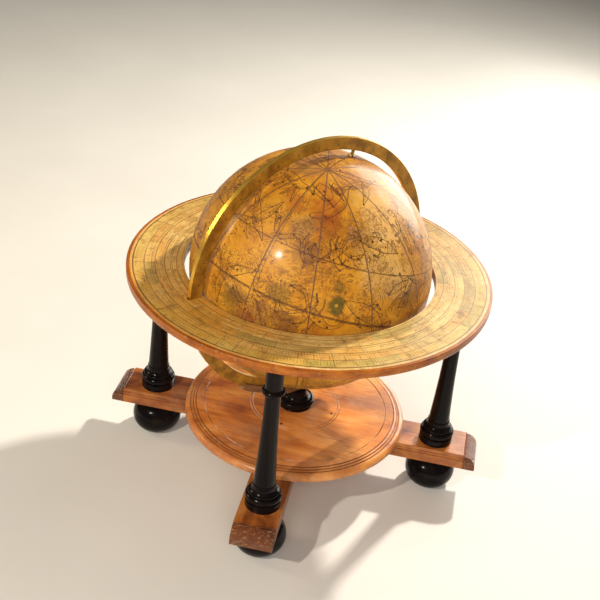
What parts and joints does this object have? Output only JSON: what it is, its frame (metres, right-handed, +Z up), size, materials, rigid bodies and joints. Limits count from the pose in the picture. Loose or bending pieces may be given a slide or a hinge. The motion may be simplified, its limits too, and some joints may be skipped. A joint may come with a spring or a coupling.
{
  "type": "celestial table globe",
  "caption": "Antique style star globe in a brass meridian ring, set in a wide paper-covered horizon ring on turned columns, crossed stretchers and bun feet.",
  "frame": {"origin": "on the floor under the middle of the stand and ball", "axes": "+Z up, +Y towards the horizon's north notch, +X east; the meridian ring stands in the YZ plane"},
  "size_m": [0.512, 0.512, 0.5251],
  "materials": {
    "ebonised_wood": "ebonised and polished, glossy",
    "walnut": "waxed reddish walnut, worn",
    "peg_wood": "cut end grain, dark",
    "cradle_wood": "satin brown",
    "horizon_wood": "varnished orange-brown",
    "horizon_print": "engraved paper under old varnish, satin",
    "ring_brass": "aged brass, satin",
    "pin_brass": "turned",
    "inner_wood": "bare",
    "papier_mache": "bare",
    "tack_iron": "forged",
    "linen": "bare",
    "plaster": "smoothed",
    "map_paper": "engraved paper under old varnish, glossy"
  },
  "bodies": {
    "stand": {"bun_foot_ne": "ebonised_wood", "column_ne": "ebonised_wood", "bun_foot_nw": "ebonised_wood", "column_nw": "ebonised_wood", "bun_foot_sw": "ebonised_wood", "column_sw": "ebonised_wood", "bun_foot_se": "ebonised_wood", "column_se": "ebonised_wood", "stretcher_lower": "walnut", "stretcher_upper": "walnut", "base_disc": "walnut", "disc_pegs": "peg_wood", "centre_pillar": "ebonised_wood", "meridian_cradle": "cradle_wood", "horizon_board_north": "horizon_wood", "horizon_board_west": "horizon_wood", "horizon_board_south": "horizon_wood", "horizon_board_east": "horizon_wood", "horizon_tongues": "peg_wood", "horizon_paper": "horizon_print"},
    "meridian": {"meridian_ring": "ring_brass", "north_pivot": "pin_brass", "south_pivot": "pin_brass"},
    "globe": {"pole_bush_north": "pin_brass", "end_block_north": "inner_wood", "shell_north": "papier_mache", "pole_bush_south": "pin_brass", "end_block_south": "inner_wood", "shell_south": "papier_mache", "shell_tacks": "tack_iron", "axle_rod": "inner_wood", "seam_strip": "linen", "plaster_coat": "plaster", "map_gores": "map_paper", "map_calottes": "map_paper"}
  },
  "joints": [
    {"name": "meridian_tilt", "type": "hinge", "parent": "stand", "child": "meridian", "pos_m": [0, 0, 0.3289], "axis": [1, 0, 0], "range_deg": [-73.4, 16.6]},
    {"name": "globe_spin", "type": "hinge", "parent": "meridian", "child": "globe", "pos_m": [0, 0, 0.3289], "axis": [0, 0.2857, 0.9583], "continuous": true}
  ]
}
